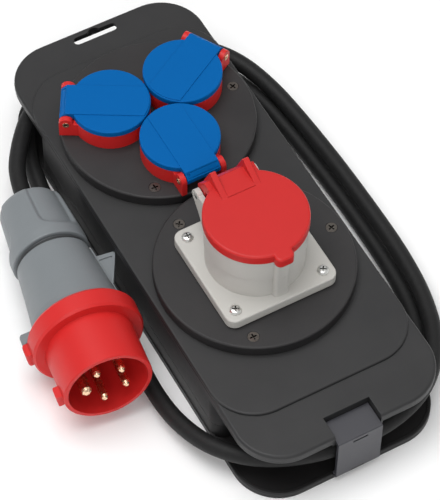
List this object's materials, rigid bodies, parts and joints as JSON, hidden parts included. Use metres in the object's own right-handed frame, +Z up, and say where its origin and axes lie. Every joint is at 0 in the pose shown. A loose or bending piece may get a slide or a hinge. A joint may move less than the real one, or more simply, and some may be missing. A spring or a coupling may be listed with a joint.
{
  "type": "portable power distribution box",
  "caption": "Flat portable power distribution box with hinged domestic sockets and an industrial socket, its supply cord wound round the core and ending in an industrial plug.",
  "frame": {"origin": "centre of the box's underside, at floor level, without the cord and plug", "axes": "+Y along the box from the cable clip towards the hanging slot, +Z up out of the sockets, +X to the right"},
  "size_m": [0.2504, 0.347, 0.1157],
  "materials": {
    "housing_black": "fine satin moulded plastic",
    "clip_grey": "satin moulded plastic",
    "disc_black": "matt fibre-filled plastic",
    "seal_rubber": "matt",
    "zinc_steel": "zinc plated",
    "dark_steel": "dark bronze",
    "brass": "satin",
    "blue_plastic": "satin moulded plastic",
    "insert_grey": "satin moulded plastic",
    "light_grey_plastic": "satin moulded plastic",
    "carrier_grey": "matt moulded plastic",
    "red_plastic": "satin moulded plastic",
    "wire_brown": "matt",
    "wire_blue": "matt",
    "wire_green": "matt",
    "cable_rubber": "matt rubber sheath",
    "plug_grey": "satin moulded plastic"
  },
  "bodies": {
    "root": {"base_shell": "housing_black", "upper_shell": "housing_black", "top_cover": "housing_black", "joint_seal": "seal_rubber", "case_screws": "zinc_steel", "clip_hinge_pin": "zinc_steel", "socket_disc": "disc_black", "socket_disc_seal": "seal_rubber", "industrial_disc": "disc_black", "industrial_disc_seal": "seal_rubber", "socket_disc_screws": "dark_steel", "industrial_disc_screws": "dark_steel", "socket_housing_a": "red_plastic", "socket_insert_a": "insert_grey", "socket_housing_b": "red_plastic", "socket_insert_b": "insert_grey", "socket_housing_c": "red_plastic", "socket_insert_c": "insert_grey", "socket_contact_sleeves": "brass", "socket_earth_clips": "zinc_steel", "socket_lock_nuts": "insert_grey", "lid_hinge_pins": "brass", "lid_springs": "zinc_steel", "industrial_housing": "light_grey_plastic", "industrial_collar": "light_grey_plastic", "industrial_flange_seal": "seal_rubber", "industrial_flange_screws": "zinc_steel", "industrial_contact_carrier": "carrier_grey", "industrial_contact_sleeves": "brass", "industrial_earth_sleeve": "brass", "industrial_hinge_pin": "zinc_steel", "industrial_lid_spring": "zinc_steel", "terminal_block": "light_grey_plastic", "terminal_screws": "brass", "phase_wires": "wire_brown", "neutral_wires": "wire_blue", "earth_strap": "zinc_steel", "earth_wires": "wire_green", "cord_outlet": "housing_black", "cord_gland": "disc_black", "supply_tail": "cable_rubber", "cord": "cable_rubber", "plug_shroud": "red_plastic", "plug_pin_carrier": "carrier_grey", "plug_contact_pins": "brass", "plug_earth_pin": "brass", "plug_housing": "plug_grey", "plug_seal_ring": "seal_rubber", "plug_gland_nut": "plug_grey", "plug_grommet": "seal_rubber"},
    "lid_a": {"socket_lid_a": "blue_plastic", "lid_gasket_a": "seal_rubber"},
    "lid_b": {"socket_lid_b": "blue_plastic", "lid_gasket_b": "seal_rubber"},
    "lid_c": {"socket_lid_c": "blue_plastic", "lid_gasket_c": "seal_rubber"},
    "industrial_cover": {"industrial_lid": "red_plastic", "industrial_lid_gasket": "seal_rubber"},
    "clip": {"cable_clip": "clip_grey"}
  },
  "joints": [
    {"name": "lid_a_hinge", "type": "hinge", "parent": "root", "child": "lid_a", "pos_m": [-0.04902, 0.10745, 0.0685], "axis": [-0.5, -0.866, 0], "range_deg": [0, 100], "stiffness_Nm_per_rad": 0.01, "springref_deg": -20.05},
    {"name": "lid_b_hinge", "type": "hinge", "parent": "root", "child": "lid_b", "pos_m": [0.04902, 0.10745, 0.0685], "axis": [-0.5, 0.866, 0], "range_deg": [0, 100], "stiffness_Nm_per_rad": 0.01, "springref_deg": -20.05},
    {"name": "lid_c_hinge", "type": "hinge", "parent": "root", "child": "lid_c", "pos_m": [0, 0.02255, 0.0685], "axis": [1, 0, 0], "range_deg": [0, 92], "stiffness_Nm_per_rad": 0.01, "springref_deg": -20.05},
    {"name": "industrial_lid_hinge", "type": "hinge", "parent": "root", "child": "industrial_cover", "pos_m": [0, -0.0091, 0.094], "axis": [-1, 0, 0], "range_deg": [0, 92], "stiffness_Nm_per_rad": 0.03, "springref_deg": -17.19},
    {"name": "clip_hinge", "type": "hinge", "parent": "root", "child": "clip", "pos_m": [0, -0.1714, 0.0059], "axis": [1, 0, 0], "range_deg": [0, 90]}
  ]
}
